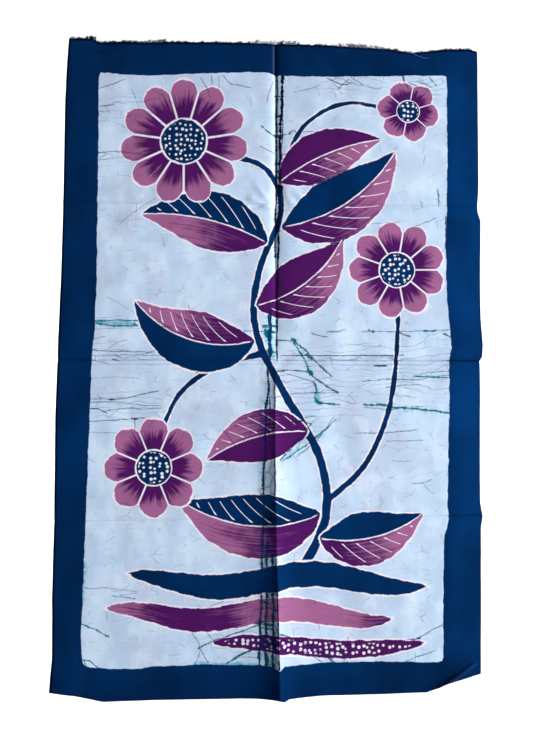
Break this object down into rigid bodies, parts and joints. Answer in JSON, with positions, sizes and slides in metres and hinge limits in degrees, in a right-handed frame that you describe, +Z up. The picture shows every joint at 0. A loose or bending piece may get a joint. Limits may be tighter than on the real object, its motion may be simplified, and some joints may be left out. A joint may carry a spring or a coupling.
{
  "type": "wall tapestry",
  "caption": "Tall hand-dyed cotton wall hanging with a dark border, pale crackled ground, stored-fold creases and a ravelled top edge.",
  "frame": {"origin": "middle of the top edge, on the plane of the wall behind the cloth", "axes": "+Z up along the cloth's length, +X across its width, +Y into the wall; the face looks to -Y"},
  "size_m": [0.5865, 0.0192, 0.9161],
  "materials": {
    "dyed_cotton": "matte plain weave, resist dyed",
    "ravelled_cotton": "matte loose thread"
  },
  "bodies": {
    "root": {"cloth_panel": "dyed_cotton", "frayed_top_edge": "ravelled_cotton"}
  },
  "joints": []
}
